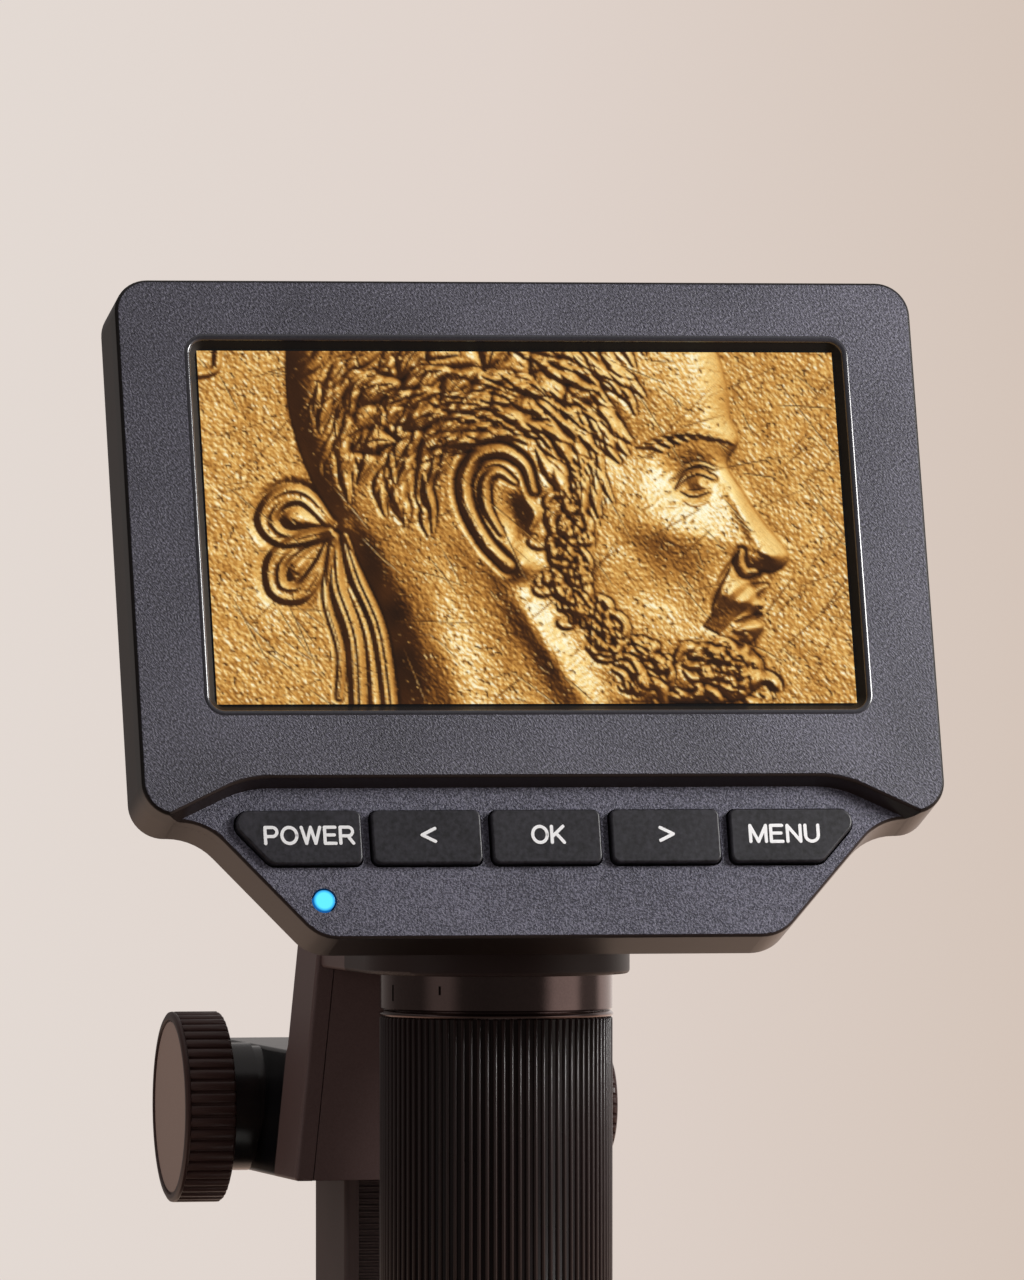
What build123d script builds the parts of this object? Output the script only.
from build123d import *
import math
import os

# A desk-top digital microscope: a screen head on a vertical lens barrel, held
# by an arm that a rack and pinion drives up and down a column on a flat base.
#
# Lengths are in millimetres. Every piece is modelled about the barrel's axis
# (X to the right, Y to the back, Z up from the floor) and is moved at the end,
# so that the origin is the middle of the base's footprint on the floor.
# Pieces of the head are drawn flat: x across, y up the panel, z out of it.

# ---- driving dimensions: placing ------------------------------------------
ring_height = 120.0          # floor to the underside of the arm's ring, at rest
base_front = 62.0            # barrel axis to the base's front edge
base_rear = 112.0            # barrel axis to the base's rear edge
play = 0.06                  # radial clearance of a running fit
ease = 0.1                   # clearance between fixed pieces that slip together
parting = 0.15               # visible gap between two covers

# ---- driving dimensions: head ---------------------------------------------
head_tilt = 17.5             # the panel leans back by this angle, in degrees
head_width = 119.0
head_height = 99.2           # along the panel, with the key panel
head_reach = 41.8            # barrel axis to the panel's lower edge
head_rise = 7.2              # ring's underside to the panel's lower edge
head_corner = 5.0
shoulder_height = 17.7       # lower edge to the underside of the wide part
shoulder_round = 9.0
chin_inset = 25.3            # head's side to the key panel's lower corner
chin_corner = 6.5
chin_angle = 48.0            # slope of the key panel's ends, in degrees
bezel_edge_height = 23.5     # lower edge of the raised bezel
bezel_edge_inset = 15.4      # head's side to the straight part of that edge
bezel_edge_drop = 6.2        # how far it falls towards the corners
bezel_edge_run = 12.9        # over this width
chin_step = 2.9              # key panel lies this far behind the bezel
step_slope = 17.0            # of the edge between them, in degrees
edge_round = 0.6
chin_round = 0.5
wall = 2.0
key_wall = 1.8               # thickness of the key panel
front_depth = 5.6            # bezel face to the joint between the two housings
side_depth = 12.0            # straight part of the side wall
back_depth = 20.0            # bezel face to the flat back
back_taper = 34.0            # slope of the back's edges, in degrees
back_round = 1.5

# ---- driving dimensions: display ------------------------------------------
module_side = 6.8            # head's side to the display module
module_over = 3.85           # head's top to the module
module_low = 28.25           # panel's lower edge to the module
glass_side = 5.18            # module's side to the active area
glass_over = 6.62            # module's top and foot to the active area
view_width = head_width - 2 * (module_side + glass_side)     # 95.04 x 53.86, which is
view_height = head_height - module_over - module_low - 2 * glass_over    # 4.3 inches across
view_margin = 0.3            # bezel's edge to the active area
window_lip = 1.5             # thickness of the bezel at the window
window_bevel = 1.5
window_corner = 1.2          # at the display
module_width = view_width + 2 * glass_side
module_height = view_height + 2 * glass_over
module_depth = 2.9
frame_depth = 1.1
frame_bar = 6.0

# ---- driving dimensions: keys ---------------------------------------------
key_height = 8.1
key_base = 10.9              # up the panel
key_width = 16.2
key_gap = 1.5
key_side = 3.16              # an outer key's lower corner to the key panel's end
key_corner = 1.1
key_tip = 2.0
key_round = 0.35
key_proud = 1.2              # above the key panel
key_clear = 0.25
key_flange = 0.45
key_flange_depth = 0.8
key_stem_radius = 1.5
key_stem = 0.6
key_travel = 0.6
key_board_depth = 9.0        # bezel face to the front of the key board
key_board_thick = 1.2
key_board_clear = 0.6        # around the board, inside the housing
switch_size = 5.0
switch_body = 1.6
plunger_radius = 1.3
light_inset = 1.0            # key panel's lower corner to the light, across
light_height = 5.7
light_radius = 1.6
light_proud = 0.05
light_clear = 0.25

# ---- driving dimensions: electronics --------------------------------------
board_depth = 9.6            # bezel face to the front of the main board
board_thick = 1.6
board_left_gap = 9.5         # head's side to the board
board_right_gap = 4.0
board_low = 31.0
board_over = 15.2            # head's top to the board
board_post = 3.0
board_inset = 4.0            # board's edge to its screws
board_socket_room = 8.0      # the same, on the side with the sockets
board_screw = 0.9
board_screw_grip = 4.0
battery_width = 50.0
battery_height = 34.0
battery_thick = 5.0
battery_low = 45.0
socket_depth = 8.0           # bezel face to the middle of the USB socket
usb_height = 70.0
usb_width = 8.9
usb_thick = 3.2
usb_length = 7.3
usb_wall = 0.3
usb_back = 1.2
usb_tongue = 0.7
card_height = 54.0
card_width = 12.4
card_thick = 2.0
card_length = 13.9
card_side = 0.6
card_wall = 0.4
card_back = 1.5
pot_radius = 2.6
pot_pin = 1.0
wheel_radius = 6.0
wheel_thick = 3.0
wheel_proud = 1.2            # beyond the side wall
wheel_height = 38.5
wheel_notches = 36
wheel_notch = 0.22
post_inset = 4.4             # head's side to the posts
post_drop = 11.2             # head's top to the upper posts
post_rise = 6.7              # shoulder to the lower posts
post_radius = 2.2
post_wall = 1.2
head_screw = 0.95
head_screw_head = 2.3
head_screw_seat = 3.0        # below the straight part of the side wall
head_screw_tip = 3.6         # bezel face to the screws' tips
key_screw = 0.65
key_screw_head = 1.4
key_screw_grip = 2.6
vent_count = 7
vent_pitch = 5.0
vent_length = 9.0
vent_width = 1.8
vent_drop = 12.2             # head's top to the middle of the slots

# ---- driving dimensions: barrel -------------------------------------------
neck_radius = 17.5
neck_height = 34.0           # above the ring's underside
neck_wall = 3.0
neck_round = 3.0
neck_box_half = 15.0
neck_box_drop = 3.0          # its top, below the neck's
neck_box_rise = 3.5          # its foot, above the arm's plate
neck_box_reach = 6.5         # towards the panel, beyond the neck
sensor_half = 3.4
sensor_thick = 1.2
tube_radius = 15.0
tube_bore = 12.6
tube_top = 19.5              # above the ring's underside
tube_length = 53.5
grip_radius = 17.15
index_length = 5.3
index_chamfer = 0.25
mark_width = 0.44
mark_depth = 0.35
mark_drop = 1.5
mark_lengths = {74.0: 2.4, 40.6: 1.3}    # by their angle to the left of the front
lip_length = 0.95
lip_proud = 0.15
grip_length = 53.0
flute_count = 88
flute_radius = 0.36
focus_travel = 3.0           # of the lens, up and down from rest
guide_length = 17.0
sleeve_spare = 4.0           # tube's lower end to the sleeve, at the top of the travel
sleeve_length = 23.0
sleeve_wall = 2.0
nose_spare = 0.2             # grip's lower end to the nose, at the top of the travel
nose_radius = 16.2
nose_end_radius = 14.4
nose_length = 14.3
nose_bore = 13.2
nose_lip = 0.8
nose_ledge = 2.8
lens_radius = 5.5
lens_thick = 1.8
lens_bevel = 0.9
lens_curve = 7.0
cell_radius = 8.0
cell_flange = 1.5
cell_ledge = 1.6
cell_lift = 3.0              # above the nose's lower end
light_board_thick = 1.2
cover_glass = 1.3
emitter_count = 8
emitter_circle = 10.6
emitter_length = 2.8
emitter_width = 3.5
emitter_thick = 0.9

# ---- driving dimensions: arm ----------------------------------------------
ring_radius = 19.7
plate_thick = 5.0
plate_step = 0.3             # the plate is narrower than the arm by this, on each side
arm_front = 30.7             # barrel axis to the arm's front face
arm_depth = 16.2             # of the upright part
arm_half_top = 21.0
arm_spread = 3.2             # wider at the foot by this, on each side
arm_drop = 31.9              # ring's underside to the arm's foot
slider_height = 19.0         # of the part around the column
slider_rear = 99.7
cover_thick = 2.5
arm_wall = 3.0
arm_inner_half = 17.0
panel_inset = 2.7
panel_thick = 1.6
panel_rim = 3.5
arm_screw = 1.0
arm_screw_length = 8.0
arm_screw_head = 2.0
arm_screw_inset = 4.0        # from the cover's upper and lower edges
edge_break = 0.6

# ---- driving dimensions: column, rack and height drive --------------------
column_front = 72.6          # barrel axis to the column's front
column_depth = 23.6
column_width = 16.5
column_height = 136.0
column_corner = 0.8
column_slack = 0.4           # around it, in the arm's walls
guide_thick = 2.1
guide_rim = 3.0
rack_width = 12.0
rack_depth = 3.0
rack_module = 0.3
rack_margin = 3.0            # plain length at each end of the rack
rack_end = 1.0               # column's ends to the rack's
rack_screw = 1.0
rack_screw_inset = 5.0
rack_screw_seat = 1.8
tooth_share = 0.40           # tooth's width at the pitch line, of the pitch
tooth_slope = 20.0           # of a tooth's flank, in degrees
tooth_rise = 0.9             # above and below the pitch line, in modules
tooth_fall = 1.2
pinion_teeth = 24
pinion_width = 11.0
shaft_drop = 22.2            # ring's underside to the pinion's axis
shaft_radius = 2.5
bush_radius = 4.5
bush_flange = 6.0
bush_flange_thick = 1.0
knob_radius = 14.5
knob_width = 7.9
knob_ribs = 48
knob_rib = 0.62
knob_round = 1.0
knob_rim = 0.9
knob_gap = 0.35
knob_cap_radius = 13.1
knob_cap_thick = 1.2
knob_cap_sunk = 0.25
collar_radius = 9.7
collar_step = 0.5
collar_shoulder = 0.7
collar_end = 27.9            # barrel axis to the collar's outer end
lock_radius = 7.9
lock_ribs = 32
lock_rib = 0.45
lock_round = 0.8
lock_neck = 4.95
lock_end = 32.1              # barrel axis to the lock knob's outer face
lock_width = 6.6
pad_thick = 1.5
pad_travel = 0.3
column_wall = 2.5
column_screw = 1.6
column_screw_head = 3.2
column_screw_pitch = 8.5
screw_grip = 14.0
cap_height = 2.6
cap_plug_depth = 5.0
cap_round = 0.7

# ---- driving dimensions: base ---------------------------------------------
foot_height = 2.0
foot_radius = 6.5
foot_inset = 14.0
base_width = 122.0
base_height = 12.0           # without the feet
base_corner = 14.0
base_round = 2.5
base_wall = 3.0
plate_steel = 3.0
base_rib = 2.0               # the steel plate's seat, inside the wall
boss_radius = 4.5
base_screw = 1.5
base_screw_head = 2.9
base_screw_inset = 9.0       # from the feet, towards the middle
foot_chamfer = 0.4
stage_radius = 28.0
stage_rim = 2.0
stage_chamfer = 0.3
stage_thick = 2.0
stage_proud = 0.5
clip_beside = 10.0           # stage's edge to a clip's screw
clip_y = 24.0
clip_length = 40.0
clip_width = 8.0
clip_thick = 0.8
clip_gap = 0.2               # above the stage
clip_lift = 2.6
clip_flat = 7.0
clip_tip = 5.0
stud_radius = 2.0
stud_head = 3.6
stud_head_height = 2.2
stud_slot = 0.8

# ---- derived levels --------------------------------------------------------
base_top = foot_height + base_height
plate_top = ring_height + plate_thick
column_top = base_top + column_height
arm_foot = ring_height - arm_drop
slider_top = arm_foot + slider_height
shaft_z = ring_height - shaft_drop
pitch_radius = rack_module * pinion_teeth / 2
shaft_y = column_front + rack_module - pitch_radius
side_half = arm_half_top + arm_spread * shaft_drop / arm_drop
footprint_shift = (base_rear - base_front) / 2
chin_half_width = head_width / 2 - chin_inset
bezel_edge_half = head_width / 2 - bezel_edge_inset
view_centre = module_low + module_height / 2
light_x = light_inset - chin_half_width
board_left = board_left_gap - head_width / 2
board_right = head_width / 2 - board_right_gap
board_high = head_height - board_over
post_x = head_width / 2 - post_inset
post_high = head_height - post_drop
post_low = shoulder_height + post_rise
clip_x = stage_radius + clip_beside

head_place = Location(Plane(
    origin=(0, -head_reach, ring_height + head_rise),
    x_dir=(1, 0, 0),
    z_dir=(0, -math.cos(math.radians(head_tilt)), math.sin(math.radians(head_tilt))),
))

parts = {}


def prism(sketch, low, high):
    """The sketch pulled from one level to another."""
    return extrude(Pos(0, 0, low) * sketch, amount=high - low, dir=(0, 0, 1))


def box(x0, x1, y0, y1, z0, z1):
    """A block between two corners."""
    return Pos((x0 + x1) / 2, (y0 + y1) / 2, (z0 + z1) / 2) * Box(x1 - x0, y1 - y0, z1 - z0)


def ring(outer, inner, low, high):
    """A straight ring about the Z axis."""
    return prism(Circle(outer) - Circle(inner), low, high)


def rod(radius, low, high, x=0.0, y=0.0):
    """A round bar along Z."""
    return Pos(x, y, low) * extrude(Circle(radius), amount=high - low)


def outline(points):
    """A closed flat shape from (x, y, corner radius) points."""
    corners = [(x, y) for x, y, radius in points]
    radii = [radius for x, y, radius in points]
    return make_face(FilletPolyline(*corners, radius=radii, close=True))


def mirrored(points):
    """The points of a left half, followed by the right half."""
    return points + [(-x, y, radius) for x, y, radius in reversed(points)]


def backwards(sketch, start, depth):
    """A shape drawn as seen from the front, pushed back from one plane."""
    return Pos(0, start, 0) * Rot(90, 0, 0) * prism(sketch, -depth, 0)


def across(shape):
    """A shape drawn about Z, laid along X at the height of the pinion."""
    return Pos(0, shaft_y, shaft_z) * Rot(0, 90, 0) * shape


def keep(name, *solids):
    """Register a node made of one or more separate solids."""
    parts[name] = solids[0] if len(solids) == 1 else Compound(children=list(solids))


# ---- head: outlines --------------------------------------------------------
chin_run = shoulder_height / math.tan(math.radians(chin_angle))
head_outline = outline(mirrored([
    (-head_width / 2, head_height, head_corner),
    (-head_width / 2, shoulder_height, head_corner),
    (-chin_half_width - chin_run, shoulder_height, shoulder_round),
    (-chin_half_width, 0, chin_corner),
]))
edge_foot = bezel_edge_height - bezel_edge_drop
bezel_region = outline(mirrored([
    (-head_width, head_height + head_corner, 0),
    (-head_width, edge_foot, 0),
    (-bezel_edge_half - bezel_edge_run, edge_foot, 8.0),
    (-bezel_edge_half, bezel_edge_height, 16.0),
]))
inner_outline = offset(head_outline, -wall, kind=Kind.INTERSECTION)
window_at = Pos(0, view_centre)
window_width = view_width + 2 * view_margin
window_height = view_height + 2 * view_margin
chin_floor = -chin_step - key_wall

# ---- head: keys ------------------------------------------------------------
key_step = key_width + key_gap
end_key_x = key_width * 1.5 + key_gap * 2
end_key_base = chin_half_width + key_base / math.tan(math.radians(chin_angle)) - key_side - end_key_x
end_key_cut = key_height / math.tan(math.radians(chin_angle))
square_key = Pos(0, key_base + key_height / 2) * RectangleRounded(key_width, key_height, key_corner)
right_key = outline([
    (end_key_x, key_base, key_corner),
    (end_key_x + end_key_base, key_base, key_tip),
    (end_key_x + end_key_base + end_key_cut, key_base + key_height, key_tip),
    (end_key_x, key_base + key_height, key_corner),
])
key_shapes = {
    "button_power": mirror(right_key, Plane.YZ),
    "button_left": Pos(-key_step, 0) * square_key,
    "button_ok": square_key,
    "button_right": Pos(key_step, 0) * square_key,
    "button_menu": right_key,
}
end_key_middle = end_key_x + (end_key_base + end_key_cut / 2) / 2
key_middles = {
    "button_power": -end_key_middle,
    "button_left": -key_step,
    "button_ok": 0.0,
    "button_right": key_step,
    "button_menu": end_key_middle,
}
key_middle_height = key_base + key_height / 2
key_room = offset(inner_outline, -ease)
flange_top = chin_floor - ease
stem_top = flange_top - key_flange_depth
stem_end = stem_top - key_stem
for name, shape in key_shapes.items():
    cap = prism(shape, flange_top, -chin_step + key_proud)
    cap = fillet(cap.faces().sort_by(Axis.Z)[-1].edges(), key_round)
    flange = prism(offset(shape, key_flange) & key_room, stem_top, flange_top)
    stem = rod(key_stem_radius, stem_end, stem_top, key_middles[name], key_middle_height)
    keep(name, head_place * (cap + flange + stem))

# ---- head: front housing with the bezel and the key panel ------------------
front = prism(head_outline, -front_depth, -chin_step)
front = fillet(front.faces().sort_by(Axis.Z)[-1].edges(), chin_round)
bezel = prism(head_outline, -front_depth, 0) & extrude(bezel_region, amount=-front_depth, taper=-step_slope)
bezel = fillet(bezel.faces().sort_by(Axis.Z)[-1].edges(), edge_round)
front = front + bezel
window = loft([
    Pos(0, view_centre, -window_lip) * RectangleRounded(window_width, window_height, window_corner),
    Pos(0, view_centre, 0) * RectangleRounded(
        window_width + 2 * window_bevel, window_height + 2 * window_bevel, window_corner + window_bevel),
])
module_seat = Rectangle(module_width + 2 * ease, module_height + 2 * ease)
front -= window
front -= prism(window_at * module_seat, -front_depth, -window_lip)
front -= prism(inner_outline, -front_depth, chin_floor)
for x in (-post_x, post_x):
    for y in (post_low, post_high):
        front += rod(post_radius, -front_depth, chin_floor, x, y)
        front -= rod(head_screw + 0.05, -front_depth, ease * 2 - head_screw_tip, x, y)
for shape in key_shapes.values():
    front -= prism(offset(shape, key_clear), chin_floor, 0)
front -= rod(light_radius + light_clear, chin_floor, 0, light_x, light_height)
key_post_x = key_step + key_width / 2 + key_gap / 2
key_post_y = key_base - key_flange - key_stem_radius - ease
for x in (-key_post_x, key_post_x):
    front += rod(key_stem_radius, -key_board_depth, chin_floor, x, key_post_y)
    front -= rod(key_screw + 0.05, -key_board_depth, key_screw_grip + ease - key_board_depth, x, key_post_y)
keep("front_bezel", head_place * front)

# ---- head: display ---------------------------------------------------------
module_top = -window_lip
module_foot = module_top - module_depth
panel = prism(window_at * Rectangle(module_width, module_height), module_foot, module_top)
keep("display_panel", head_place * panel)
frame_plate = Rectangle(module_width, module_height)
frame_hole = Rectangle(module_width - 2 * frame_bar, module_height - 2 * frame_bar)
chassis = prism(window_at * (frame_plate - frame_hole), module_foot - frame_depth, module_foot)
keep("display_frame", head_place * chassis)

# ---- head: boards, battery and sockets -------------------------------------
board_back = -board_depth - board_thick
back_floor = -back_depth + wall
main = box(board_left, board_right, board_low, board_high, board_back, -board_depth)
main_posts = [
    (x, y)
    for x in (board_left + board_inset, board_right - board_socket_room)
    for y in (board_low + board_inset, board_high - board_inset)
]
for x, y in main_posts:
    main -= rod(board_screw + 2 * ease, board_back, -board_depth, x, y)
keep("main_board", head_place * main)

key_board_back = -key_board_depth - key_board_thick
key_board = prism(offset(inner_outline, -key_board_clear), key_board_back, -key_board_depth)
key_board &= box(-head_width, head_width, 0, key_base + key_height, -back_depth, 0)
for x in (-key_post_x, key_post_x):
    key_board -= rod(key_screw + 0.25, -back_depth, 0, x, key_post_y)
keep("key_board", head_place * key_board)

switches = []
switch_top = stem_end - key_travel - ease
for x in key_middles.values():
    body = Pos(x, key_middle_height, -key_board_depth) * extrude(
        Rectangle(switch_size, switch_size), amount=switch_body)
    plunger = rod(plunger_radius, switch_body - key_board_depth, switch_top, x, key_middle_height)
    switches.append(body + plunger)
keep("key_switches", *[head_place * switch for switch in switches])

light = rod(light_radius, -key_board_depth, light_proud - chin_step, light_x, light_height)
light = fillet(light.faces().sort_by(Axis.Z)[-1].edges(), 2 * light_proud)
keep("indicator_light", head_place * light)

battery = Pos(0, battery_low + battery_height / 2, back_floor) * extrude(
    RectangleRounded(battery_width, battery_height, 2.0), amount=battery_thick)
keep("battery_cell", head_place * battery)

side_inner = head_width / 2 - wall


def stadium(width, height, start, length):
    """A round-ended bar along X that starts at one distance from the middle."""
    return Pos(start, 0, 0) * (Rot(0, 90, 0) * extrude(
        RectangleRounded(height, width, height * 0.45), amount=length))


usb_inner = side_inner - ease - usb_length
usb_mouth = usb_inner + usb_back
usb = stadium(usb_width, usb_thick, usb_inner, usb_length)
usb -= stadium(usb_width - 2 * usb_wall, usb_thick - 2 * usb_wall, usb_mouth, usb_length)
usb += Pos((usb_mouth + side_inner) / 2 - usb_tongue, 0, 0) * Box(
    side_inner - usb_mouth - 2 * usb_tongue, usb_width - 2.3, usb_tongue)
usb = Pos(0, usb_height, -socket_depth) * usb
keep("usb_socket", head_place * usb)

card_inner = side_inner - ease - card_length
card_floor = -board_depth
card_half = card_width / 2
card = box(card_inner, side_inner - ease, card_height - card_half, card_height + card_half,
           card_floor, card_floor + card_thick)
card -= box(card_inner + card_back, side_inner, card_height - card_half + card_side,
            card_height + card_half - card_side, card_floor + card_wall, card_floor + card_thick - card_wall)
keep("card_socket", head_place * card)

wheel_x = head_width / 2 + wheel_proud - wheel_radius
wheel_low = 3 * ease - board_depth
pot = rod(pot_radius, -board_depth, wheel_low - ease, wheel_x, wheel_height)
pot += rod(pot_pin, -board_depth, wheel_low + wheel_thick, wheel_x, wheel_height)
keep("dimmer_pot", head_place * pot)
wheel_shape = Circle(wheel_radius) - PolarLocations(wheel_radius, wheel_notches) * Circle(wheel_notch)
wheel_shape -= Circle(pot_pin + play)
keep("dimmer_wheel", head_place * Pos(wheel_x, wheel_height) * prism(
    wheel_shape, wheel_low, wheel_low + wheel_thick))

# ---- head: rear housing with the neck --------------------------------------
slope_depth = back_depth - side_depth
rear = prism(head_outline, -side_depth, -front_depth)
rear += Pos(0, 0, -side_depth) * extrude(head_outline, amount=-slope_depth, taper=back_taper)
rear = fillet(rear.faces().sort_by(Axis.Z)[0].edges(), back_round)
cavity = prism(inner_outline, -side_depth, -front_depth)
cavity += Pos(0, 0, -side_depth) * extrude(inner_outline, amount=-(slope_depth - wall), taper=back_taper)
posts = []
well_floor = -side_depth - head_screw_seat
for x in (-post_x, post_x):
    for y in (post_low, post_high):
        posts.append(rod(post_radius + post_wall, -back_depth, -front_depth, x, y))
for x, y in main_posts:
    posts.append(rod(board_post, -back_depth, board_back, x, y))
skin = rear
rear = rear - cavity
for post in posts:
    rear += post & skin
for x in (-post_x, post_x):
    for y in (post_low, post_high):
        rear -= rod(head_screw + 0.45, well_floor, -front_depth, x, y)
        rear -= rod(head_screw_head + 2 * ease, -back_depth, well_floor, x, y)
for x, y in main_posts:
    rear -= rod(board_screw + ease, back_floor, board_back, x, y)
usb_room = usb_width / 2 + 2 * ease
rear -= box(side_inner - 1, head_width, usb_height - usb_room, usb_height + usb_room,
            -socket_depth - usb_thick / 2 - ease, -socket_depth + usb_thick / 2 + ease)
card_room = card_half - card_side + ease
rear -= box(side_inner - 1, head_width, card_height - card_room, card_height + card_room,
            card_floor + card_wall / 2, card_floor + card_thick - card_wall / 2)
wheel_slot = math.sqrt(wheel_radius ** 2 - (side_inner - wheel_x) ** 2) + 5 * ease
rear -= box(side_inner - 1, head_width, wheel_height - wheel_slot, wheel_height + wheel_slot,
            wheel_low - key_clear, wheel_low + wheel_thick + key_clear)
for i in range(vent_count):
    x = (i - (vent_count - 1) / 2) * vent_pitch
    rear -= Pos(x, head_height - vent_drop, -back_depth) * extrude(
        SlotOverall(vent_length, vent_width, rotation=90), amount=wall)

neck_low = plate_top
neck_top = ring_height + neck_height
tube_seat = ring_height + tube_top
box_low = neck_low + neck_box_rise
box_high = neck_top - neck_box_drop
box_front = -neck_radius - neck_box_reach
rear = head_place * rear
head_void = head_place * cavity
neck = rod(neck_radius, neck_low, neck_top)
neck = fillet(neck.faces().sort_by(Axis.Z)[-1].edges(), neck_round)
bridge = box(-neck_box_half, neck_box_half, box_front, 0, box_low, box_high)
neck = (neck + bridge) - head_void
rear = rear + neck
rear -= rod(tube_radius + play, neck_low, tube_seat)
rear -= rod(neck_radius - neck_wall, tube_seat, neck_top - neck_wall)
rear -= box(-neck_box_half + neck_wall, neck_box_half - neck_wall, box_front, 0,
            tube_seat, box_high - neck_wall)
keep("rear_housing", rear)

# ---- head: screws ----------------------------------------------------------


def screw(x, y, seat, tip, shank, head, head_height):
    """A screw seen from behind: its head lies below the seat, its tip above."""
    body = rod(shank, seat, tip, x, y) + rod(head, seat - head_height, seat, x, y)
    return body - Pos(x, y, seat - head_height) * extrude(
        RegularPolygon(head * 0.5, 6), amount=head_height * 0.5)


head_screws = [
    head_place * screw(x, y, well_floor, -head_screw_tip, head_screw, head_screw_head, 1.7)
    for x in (-post_x, post_x)
    for y in (post_low, post_high)
]
keep("head_screws", *head_screws)
board_screws = []
for x, y in main_posts:
    upright = screw(0, 0, 0, board_thick + board_screw_grip, board_screw, board_screw + 1.0, 1.0)
    board_screws.append(head_place * Pos(x, y, -board_depth) * Rot(180, 0, 0) * upright)
for x in (-key_post_x, key_post_x):
    tip = key_screw_grip - key_board_depth
    small = screw(x, key_post_y, key_board_back, tip, key_screw, key_screw_head, 0.9)
    board_screws.append(head_place * small)
keep("board_screws", *board_screws)

# ---- barrel: fixed tube, index ring and sensor ------------------------------
tube_foot = tube_seat - tube_length
keep("barrel_tube", ring(tube_radius, tube_bore, tube_foot, tube_seat))

index = ring(grip_radius, tube_radius + play, ring_height - index_length, ring_height)
index_foot = index.edges().filter_by(GeomType.CIRCLE).group_by(Axis.Z)[0]
index = chamfer(index_foot.sort_by(SortBy.RADIUS)[-1], index_chamfer)
for angle, tall in mark_lengths.items():
    mark = box(-mark_width / 2, mark_width / 2, -grip_radius - 1, mark_depth - grip_radius,
               -mark_drop - tall, -mark_drop)
    index -= Pos(0, 0, ring_height) * Rot(0, 0, -angle) * mark
keep("index_ring", index)

sensor_back = tube_seat + sensor_thick
sensor = rod(tube_bore + 0.9, tube_seat, sensor_back)
sensor += box(-sensor_half, sensor_half, -sensor_half, sensor_half, tube_seat - sensor_thick, tube_seat)
sensor += box(-1.6 * sensor_half, 1.6 * sensor_half, -3 * sensor_half, -2 * sensor_half,
              sensor_back, sensor_back + 1.5 * sensor_thick)
keep("sensor_board", sensor)

# ---- barrel: fluted focus ring ----------------------------------------------
grip_top = ring_height - index_length - parting
grip_foot = grip_top - grip_length
lip_foot = grip_top - lip_length
flutes = PolarLocations(grip_radius + 0.06, flute_count) * Circle(flute_radius)
fluted = Circle(grip_radius) - flutes - Circle(tube_radius + play)
grip = prism(fluted, grip_foot, lip_foot)
lip = ring(grip_radius + lip_proud, tube_radius + play, lip_foot, grip_top)
lip = fillet(lip.edges().filter_by(GeomType.CIRCLE).sort_by(SortBy.RADIUS)[-2:], 0.35)
keep("focus_ring", grip + lip)

# ---- barrel: sliding lens sleeve and lens ------------------------------------
sleeve_top = tube_foot - focus_travel - sleeve_spare
sleeve_foot = sleeve_top - sleeve_length
sleeve_bore = tube_radius - sleeve_wall
guide_radius = tube_bore - play
sleeve = ring(tube_radius, sleeve_bore, sleeve_foot, sleeve_top)
sleeve += ring(sleeve_bore + 0.5, guide_radius - sleeve_wall, sleeve_top - 2.0, sleeve_top)
sleeve += ring(guide_radius, guide_radius - sleeve_wall, sleeve_top - 1.0, sleeve_top + guide_length)
keep("lens_sleeve", sleeve)

nose_top = grip_foot - focus_travel - nose_spare
nose_foot = nose_top - nose_length
ledge_foot = sleeve_foot - nose_ledge
cell_foot = nose_foot + cell_lift
lens_seat = cell_foot + cell_ledge
cell = ring(cell_radius, lens_radius + ease, cell_foot, sleeve_foot + cell_flange)
cell += ring(sleeve_bore - ease, lens_radius + ease, sleeve_foot, sleeve_foot + cell_flange)
cell += ring(cell_radius, lens_radius - 0.6, cell_foot, lens_seat)
keep("lens_cell", cell)
lens_rim = lens_seat + lens_thick
dome_width = lens_radius - lens_bevel
dome_height = lens_curve - math.sqrt(lens_curve ** 2 - dome_width ** 2)
dome = Pos(0, 0, lens_rim + dome_height - lens_curve) * Sphere(lens_curve)
dome &= rod(dome_width, lens_rim - 0.2, lens_rim + dome_height + 1)
keep("objective_lens", rod(lens_radius, lens_seat, lens_rim) + dome)
keep("lens_retainer", ring(lens_radius, dome_width + ease, lens_rim, lens_rim + 1.0))

# ---- barrel: light nose -------------------------------------------------------
window_seat = nose_foot + nose_lip
nose_profile = outline([
    (sleeve_bore - 1.0, ledge_foot, 0),
    (nose_bore, ledge_foot, 0),
    (nose_bore, window_seat, 0),
    (nose_bore - 1.0, window_seat, 0),
    (nose_bore - 1.0, nose_foot, 0),
    (nose_end_radius, nose_foot, 0.5),
    (nose_radius, nose_foot + nose_length * 0.55, 2.0),
    (nose_radius, nose_top, 0.5),
    (tube_radius + play, nose_top, 0),
    (tube_radius + play, sleeve_foot, 0),
    (sleeve_bore - 1.0, sleeve_foot, 0),
])
keep("nose_shell", revolve(Plane.XZ * nose_profile, axis=Axis.Z))
light_board_low = ledge_foot - light_board_thick
keep("light_board", ring(nose_bore - 2 * ease, cell_radius + 3 * ease, light_board_low, ledge_foot))
emitter = Pos(emitter_circle, 0, light_board_low - emitter_thick / 2) * Box(
    emitter_length, emitter_width, emitter_thick)
keep("light_emitters", *[Rot(0, 0, i * 360 / emitter_count) * emitter for i in range(emitter_count)])
keep("nose_window", ring(nose_bore - ease, cell_radius - 1.0, window_seat, window_seat + cover_glass))

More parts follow.
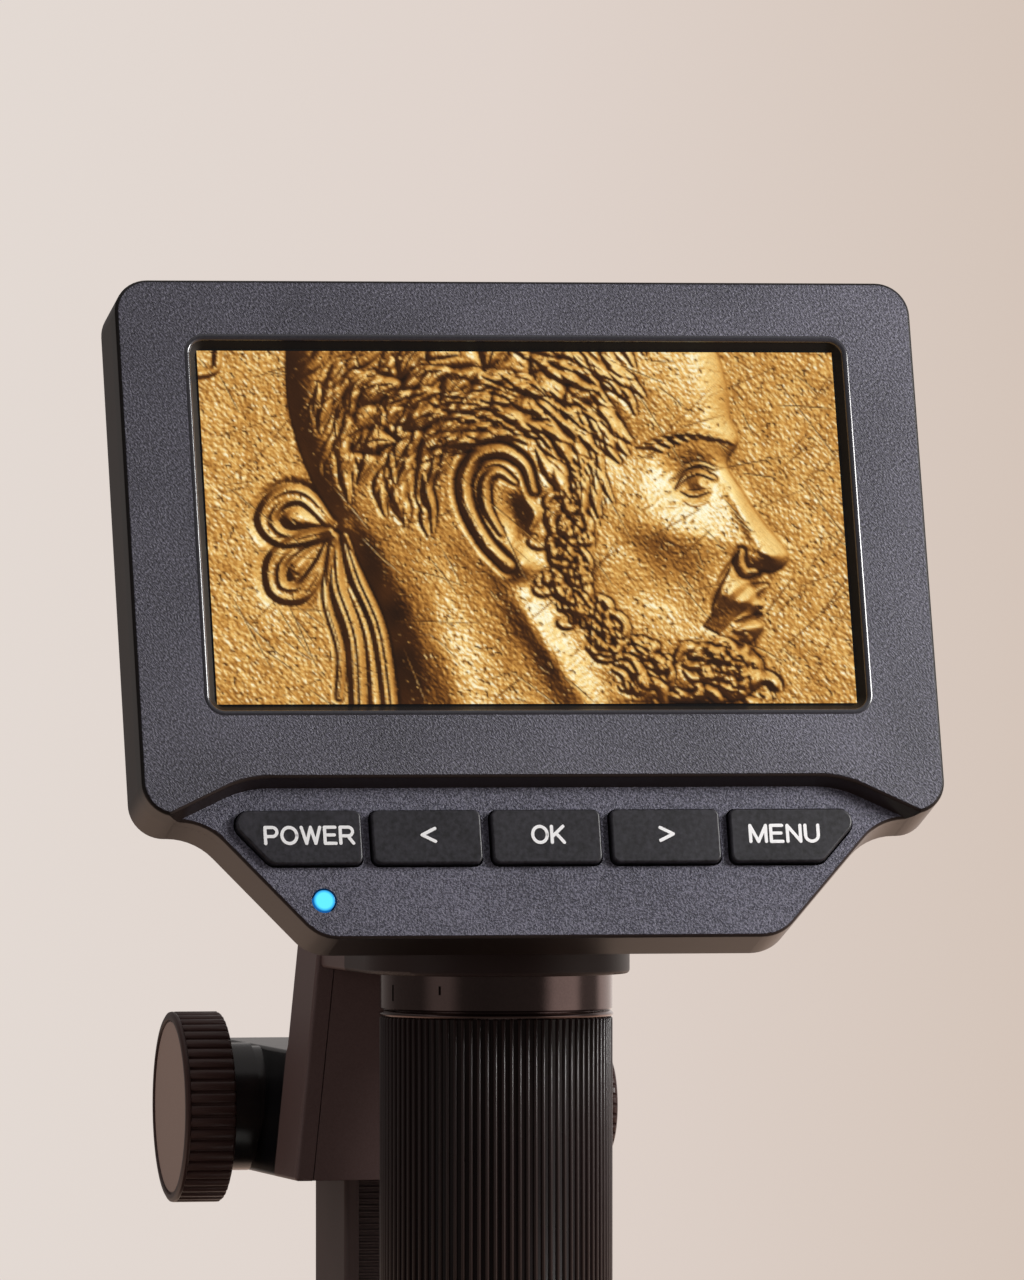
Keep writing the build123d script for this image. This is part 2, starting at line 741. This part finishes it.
# ---- arm: frame ----------------------------------------------------------------
arm_half_foot = arm_half_top + arm_spread
arm_half_lid = arm_half_top - arm_spread * plate_thick / arm_drop
arm_rear = arm_front + arm_depth
side_profile = outline([
    (arm_front, plate_top, 0),
    (arm_front, arm_foot, edge_break),
    (slider_rear + cover_thick, arm_foot, edge_break),
    (slider_rear + cover_thick, slider_top, edge_break),
    (arm_rear, slider_top, 1.2),
    (arm_rear, plate_top, edge_break),
])
slab = extrude(Plane.YZ * side_profile, amount=base_width / 2, both=True)
front_trim = backwards(outline([
    (-arm_half_lid, plate_top, 0),
    (-arm_half_foot, arm_foot, 0),
    (arm_half_foot, arm_foot, 0),
    (arm_half_lid, plate_top, 0),
]), 0, base_rear * 2)
arm_body = slab & front_trim
flanks = arm_body.faces().sort_by(Axis.X)
arm_body = fillet(flanks[0].edges() + flanks[-1].edges(), edge_break)
slider_split = box(-base_width, base_width, slider_rear, base_rear * 2, 0, ring_height * 2)
cover = arm_body & slider_split
plate_shape = Circle(ring_radius) + outline([
    (-ring_radius, 0, 0),
    (ring_radius, 0, 0),
    (arm_half_lid - plate_step, arm_front + 2 * edge_break, 0),
    (plate_step - arm_half_lid, arm_front + 2 * edge_break, 0),
])
plate = prism(plate_shape, ring_height, plate_top)
plate_rims = plate.faces().sort_by(Axis.Z)
plate = fillet(plate_rims[0].edges() + plate_rims[-1].edges(), edge_break)
frame = (arm_body - slider_split) + plate
frame -= rod(tube_radius + play, ring_height, plate_top)

column_mid = column_front + column_depth / 2
passage = Rectangle(column_width + 2 * column_slack, column_depth + 2 * column_slack)
cavity_low = arm_foot + arm_wall
cavity_high = slider_top - arm_wall
cavity_front = shaft_y - bush_flange - 2.5
frame -= Pos(0, column_mid, arm_foot) * extrude(passage, amount=slider_height)
frame -= box(-arm_inner_half, arm_inner_half, cavity_front, slider_rear, cavity_low, cavity_high)
panel_half_top = arm_half_top - panel_inset
panel_half_foot = arm_half_foot - panel_inset
panel_shape = outline([
    (-panel_half_top, ring_height, 0),
    (-panel_half_foot, arm_foot, 0),
    (panel_half_foot, arm_foot, 0),
    (panel_half_top, ring_height, 0),
])
frame -= backwards(panel_shape, arm_front, panel_thick)
pocket_shape = offset(panel_shape, -panel_rim, kind=Kind.INTERSECTION)
frame -= backwards(pocket_shape, arm_front, arm_depth - arm_wall)
frame -= across(rod(bush_radius + ease / 2, -base_width / 2, base_width / 2))
cover_screw_spots = [
    (side * (arm_inner_half + side_half) / 2, z)
    for side in (-1, 1)
    for z in (arm_foot + arm_screw_inset, slider_top - arm_screw_inset)
]
for x, z in cover_screw_spots:
    frame -= Pos(x, slider_rear, z) * Rot(90, 0, 0) * extrude(
        Circle(arm_screw + ease), amount=arm_screw_length + 5 * ease)
keep("arm_frame", frame)

panel_fit = offset(panel_shape, -parting, kind=Kind.INTERSECTION)
keep("arm_front_panel", backwards(panel_fit, arm_front, panel_thick))
sunk = cover_thick / 2
arm_screws = []
for x, z in cover_screw_spots:
    spot = Pos(x, slider_rear + cover_thick, z) * Rot(90, 0, 0)
    cover -= spot * extrude(Circle(arm_screw + 3 * ease), amount=cover_thick)
    cover -= spot * extrude(Circle(arm_screw_head + 2 * ease), amount=sunk)
    arm_screws.append(spot * screw(
        0, 0, sunk, sunk + arm_screw_length, arm_screw, arm_screw_head, sunk - ease))
keep("arm_rear_cover", cover)
keep("arm_screws", *arm_screws)

# ---- arm: guides around the column ----------------------------------------------
guide_hole = Rectangle(column_width + 2 * play, column_depth + 2 * play)
guide_outer = Rectangle(column_width + 2 * guide_rim, column_depth + 2 * guide_rim)
guide_shape = Pos(0, column_mid) * (guide_outer - guide_hole)
keep("column_guides",
     prism(guide_shape, cavity_low, cavity_low + guide_thick),
     prism(guide_shape, cavity_high - guide_thick, cavity_high))

# ---- height drive: shaft, bushes, collar and knob ---------------------------------
rack_pitch = math.pi * rack_module
tooth_lean = math.tan(math.radians(tooth_slope))
tooth_top = 0.5 * tooth_share * rack_pitch - rack_module * tooth_lean
tooth_root = 0.5 * tooth_share * rack_pitch + tooth_fall * rack_module * tooth_lean
root_radius = pitch_radius - tooth_fall * rack_module
tip_radius = pitch_radius + tooth_rise * rack_module
tooth = make_face(Polyline(
    (root_radius - 0.3, -tooth_root), (root_radius, -tooth_root), (tip_radius, -tooth_top),
    (tip_radius, tooth_top), (root_radius, tooth_root), (root_radius - 0.3, tooth_root), close=True))
gear = Circle(root_radius)
for i in range(pinion_teeth):
    gear += Rot(0, 0, 90 + i * 360 / pinion_teeth) * tooth
knob_inner = collar_end + knob_gap
knob_outer = knob_inner + knob_width
shaft_left = knob_outer - knob_cap_thick - 1.6
shaft_right = arm_inner_half + 0.5
shaft = rod(shaft_radius, -shaft_left, shaft_right)
shaft += prism(gear, -pinion_width / 2, pinion_width / 2)
keep("pinion_shaft", across(shaft))

bush_wall_low = arm_inner_half - bush_flange_thick
bush = ring(bush_radius, shaft_radius + play, bush_wall_low, side_half + 0.4)
bush += ring(bush_flange, shaft_radius + play, bush_wall_low, arm_inner_half)
keep("shaft_bushes", across(bush), across(Rot(180, 0, 0) * bush))

collar_bore = bush_radius + 3 * ease
collar_wide = -side_half - collar_shoulder
collar = ring(collar_radius, collar_bore, -collar_end, collar_wide)
collar += ring(collar_radius - collar_step, collar_bore, collar_wide, -arm_half_top)
keep("knob_collar", across(collar) - front_trim)

knob_scallop = PolarLocations(knob_radius + 0.4 * knob_rib, knob_ribs) * Circle(knob_rib)
knob_body = prism(Circle(knob_radius), -knob_outer, -knob_inner)
knob_body = fillet(knob_body.edges().filter_by(GeomType.CIRCLE), knob_round)
knob_body -= prism(Sketch() + knob_scallop, knob_rim - knob_outer, -knob_inner)
knob_body -= rod(knob_cap_radius + ease, -knob_outer, -knob_outer + knob_cap_thick)
knob_body -= rod(shaft_radius + ease / 2, -shaft_left, -knob_inner)
keep("height_knob", across(knob_body))
cap = rod(knob_cap_radius, knob_cap_sunk - knob_outer, knob_cap_thick - knob_outer)
cap = chamfer(cap.edges().filter_by(GeomType.CIRCLE).group_by(Axis.Z)[0], 0.2)
keep("knob_cap", across(cap))

# ---- lock: knob with its screw, and the brake pad ----------------------------------
pad_start = shaft_right + pad_travel + ease / 2
pad_end = pad_start + pad_thick
keep("brake_pad", across(rod(shaft_radius, pad_start, pad_end)))
lock_inner = lock_end - lock_width
lock_scallop = PolarLocations(lock_radius + 0.4 * lock_rib, lock_ribs) * Circle(lock_rib)
lock = prism(Circle(lock_radius), lock_inner, lock_end)
lock = fillet(lock.edges().filter_by(GeomType.CIRCLE), lock_round)
lock -= prism(Sketch() + lock_scallop, lock_inner, lock_end)
lock += rod(lock_neck, side_half + 9 * ease, lock_inner)
lock += rod(shaft_radius, pad_end, lock_inner)
keep("lock_knob", across(lock))

# ---- column and rack ------------------------------------------------------------------
bar = Pos(0, column_mid, base_top) * extrude(
    RectangleRounded(column_width, column_depth, column_corner), amount=column_height)
groove_half = rack_width / 2 + ease / 2
bar -= box(-groove_half, groove_half, column_front - 1, column_front + rack_depth, base_top, column_top)
bore_half = column_width / 2 - 1.3 * column_wall
bore_front = column_front + rack_depth + column_wall
bore_rear = column_front + column_depth - column_wall
bar -= box(-bore_half, bore_half, bore_front, bore_rear, base_top + screw_grip + column_wall, column_top)
screw_mid = (bore_front + bore_rear) / 2
column_screw_y = [screw_mid - column_screw_pitch / 2, screw_mid + column_screw_pitch / 2]
for y in column_screw_y:
    bar -= rod(column_screw + ease, base_top, base_top + screw_grip, 0, y)
rack_low = base_top + rack_end
rack_high = column_top - rack_end
rack_tip = column_front
rack_pitch_line = rack_tip + rack_module
rack_root = rack_pitch_line + tooth_fall * rack_module
tooth_count = int((rack_high - rack_low - 2 * rack_margin) / rack_pitch)
first_tooth = -int((shaft_z - rack_low - rack_margin) / rack_pitch)
rack_points = [(rack_tip + rack_depth, rack_low), (rack_root, rack_low)]
for i in range(first_tooth, first_tooth + tooth_count):
    z = shaft_z + (i + 0.5) * rack_pitch
    rack_points += [
        (rack_root, z - tooth_root), (rack_tip, z - tooth_top),
        (rack_tip, z + tooth_top), (rack_root, z + tooth_root),
    ]
rack_points += [(rack_root, rack_high), (rack_tip + rack_depth, rack_high)]
rack_face = make_face(Plane.YZ * Polyline(*rack_points, close=True))
rack = extrude(rack_face, amount=rack_width / 2, both=True)
rack_screws = []
rack_screw_tip = rack_depth + column_wall - 5 * ease
for z in (rack_low + rack_screw_inset, rack_high - rack_screw_inset):
    spot = Pos(0, rack_tip, z) * Rot(-90, 0, 0)
    rack -= spot * extrude(Circle(2 * rack_screw), amount=rack_screw_seat)
    rack -= spot * extrude(Circle(rack_screw + ease), amount=rack_depth)
    bar -= spot * extrude(Circle(rack_screw + ease), amount=rack_screw_tip + 2 * ease)
    rack_screws.append(spot * screw(
        0, 0, rack_screw_seat, rack_screw_tip, rack_screw, 2 * rack_screw - ease, rack_screw))
keep("column", bar)
keep("rack", rack)
keep("rack_screws", *rack_screws)

cap_top = Pos(0, column_mid, column_top) * extrude(
    RectangleRounded(column_width, column_depth, column_corner), amount=cap_height)
cap_top = fillet(cap_top.faces().sort_by(Axis.Z)[-1].edges(), cap_round)
cap_plug = box(ease - bore_half, bore_half - ease, bore_front + ease, bore_rear - ease,
               column_top - cap_plug_depth, column_top)
keep("column_cap", cap_top + cap_plug)

# ---- base -------------------------------------------------------------------------------
base_shape = Pos(0, footprint_shift) * RectangleRounded(base_width, base_rear + base_front, base_corner)
shell = prism(base_shape, foot_height, base_top)
shell = fillet(shell.faces().sort_by(Axis.Z)[-1].edges(), base_round)
steel_shape = offset(base_shape, -base_wall)
steel_top = foot_height + plate_steel
hollow = prism(offset(base_shape, -base_wall - base_rib), steel_top, base_top - base_wall)
shell -= prism(steel_shape, foot_height, steel_top)
stage_pocket = base_top - stage_thick + stage_proud
stage_boss = rod(stage_radius + stage_rim, steel_top, base_top - base_wall)
column_boss = Pos(0, column_mid, steel_top) * extrude(
    Rectangle(column_width + 3 * base_wall, column_depth + 3 * base_wall),
    amount=base_height - plate_steel - base_wall)
screw_spots = [
    (side * (base_width / 2 - foot_inset - base_screw_inset), y)
    for side in (-1, 1)
    for y in (-base_front + foot_inset, base_rear - foot_inset)
]
hollow -= stage_boss
hollow -= column_boss
clip_spots = [(-clip_x, clip_y), (clip_x, clip_y)]
for x, y in screw_spots + clip_spots:
    hollow -= rod(boss_radius, steel_top, base_top, x, y)
shell -= hollow
shell -= rod(stage_radius + parting, stage_pocket, base_top)
stud_foot = base_top - 2 * base_wall - ease
for x, y in clip_spots:
    shell -= rod(stud_radius + ease / 2, stud_foot - 2 * ease, base_top, x, y)
base_head_seat = foot_height + plate_steel / 2
base_screw_tip = base_top - 2 * base_wall
for x, y in screw_spots:
    shell -= rod(base_screw + ease, steel_top, base_screw_tip + 5 * ease, x, y)
column_head_seat = base_top - 2 * base_wall
for y in column_screw_y:
    shell -= rod(column_screw + 3 * ease, steel_top, base_top, 0, y)
    shell -= rod(column_screw_head + 4 * ease, steel_top, column_head_seat, 0, y)
keep("base_shell", shell)
steel = prism(offset(steel_shape, -ease), foot_height, steel_top)
for x, y in screw_spots:
    steel -= rod(base_screw + 3 * ease, foot_height, steel_top, x, y)
    steel -= rod(base_screw_head + 2 * ease, foot_height, base_head_seat, x, y)
keep("base_plate", steel)
keep("base_screws", *[
    screw(x, y, base_head_seat, base_screw_tip, base_screw, base_screw_head, plate_steel / 2 - ease)
    for x, y in screw_spots])
keep("column_screws", *[
    screw(0, y, column_head_seat, base_top + screw_grip - 1.0, column_screw, column_screw_head, 2.6)
    for y in column_screw_y])
feet = []
for x in (-base_width / 2 + foot_inset, base_width / 2 - foot_inset):
    for y in (-base_front + foot_inset, base_rear - foot_inset):
        foot = rod(foot_radius, 0, foot_height, x, y)
        feet.append(chamfer(foot.faces().sort_by(Axis.Z)[0].edges(), foot_chamfer))
keep("rubber_feet", *feet)

# ---- stage and clips ----------------------------------------------------------------------
stage = rod(stage_radius, stage_pocket, base_top + stage_proud)
stage = chamfer(stage.faces().sort_by(Axis.Z)[-1].edges(), stage_chamfer)
keep("stage_disc", stage)
clip_low = base_top + stage_proud + clip_gap
tip_low = clip_low + clip_gap
clip_line = [
    (0.0, clip_low), (clip_flat, clip_low), (clip_length * 0.45, clip_low + clip_lift),
    (clip_length - clip_tip, tip_low), (clip_length, tip_low + clip_lift * 0.75),
]
clip_upper = [(run, z + clip_thick) for run, z in reversed(clip_line)]
clip_profile = make_face(Plane.YZ * Polyline(*clip_line, *clip_upper, close=True))
strip = extrude(clip_profile, amount=clip_width / 2, both=True)
clip_high = clip_low + clip_thick
eye = rod(clip_width / 2 + clip_thick, clip_low, clip_high)
clip_blank = (strip + eye) - rod(stud_radius + play, clip_low, clip_high)
for name, side in (("clip_left", -1), ("clip_right", 1)):
    keep(name, Pos(side * clip_x, clip_y) * Rot(0, 0, 180) * clip_blank)
clip_screws = []
stud_shoulder = clip_high + ease
stud_top = stud_shoulder + stud_head_height
for x, y in clip_spots:
    stud = rod(stud_radius, stud_foot, stud_shoulder, x, y)
    stud += rod(stud_head, base_top, clip_low - ease, x, y)
    cheese = rod(stud_head, stud_shoulder, stud_top, x, y)
    cheese = fillet(cheese.faces().sort_by(Axis.Z)[-1].edges(), stud_slot / 2)
    slot = box(x - stud_head, x + stud_head, y - stud_slot / 2, y + stud_slot / 2,
               stud_top - stud_slot, stud_top)
    clip_screws.append(stud + cheese - slot)
keep("clip_screws", *clip_screws)

# ---- write one file per node ------------------------------------------------------------------
os.makedirs("parts", exist_ok=True)
for name, shape in parts.items():
    export_step(Pos(0, -footprint_shift, 0) * shape, f"parts/{name}.step")
print(len(parts), "nodes")
